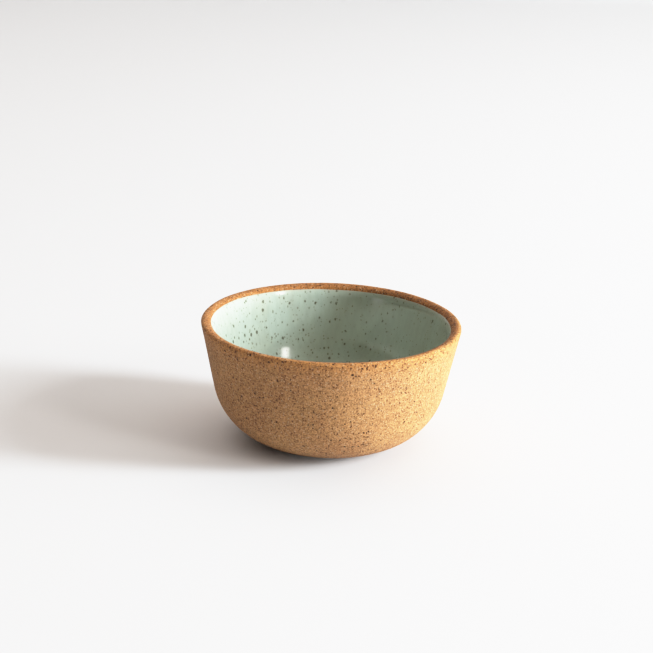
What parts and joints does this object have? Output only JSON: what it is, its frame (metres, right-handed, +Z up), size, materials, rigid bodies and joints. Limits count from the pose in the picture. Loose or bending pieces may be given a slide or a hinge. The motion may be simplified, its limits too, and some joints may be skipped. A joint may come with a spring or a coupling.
{
  "type": "prep bowl",
  "caption": "Small round stoneware prep bowl: bare speckled clay outside and lip, flared wall, rounded belly, flat dished foot, and a glossy pale green glaze inside.",
  "frame": {"origin": "on the bowl's axis, at the plane of the standing ring under the foot", "axes": "+Z up along the bowl's axis, from the foot to the lip; the bowl is round, so X and Y are any two directions square to it"},
  "size_m": [0.108, 0.108, 0.051],
  "materials": {
    "raw_clay": "bare fired stoneware, sandy and matte, with dark iron specks",
    "celadon_glaze": "glossy pale green glaze with dark iron specks"
  },
  "bodies": {
    "root": {"stoneware_body": "raw_clay", "glaze_lining": "celadon_glaze"}
  },
  "joints": []
}
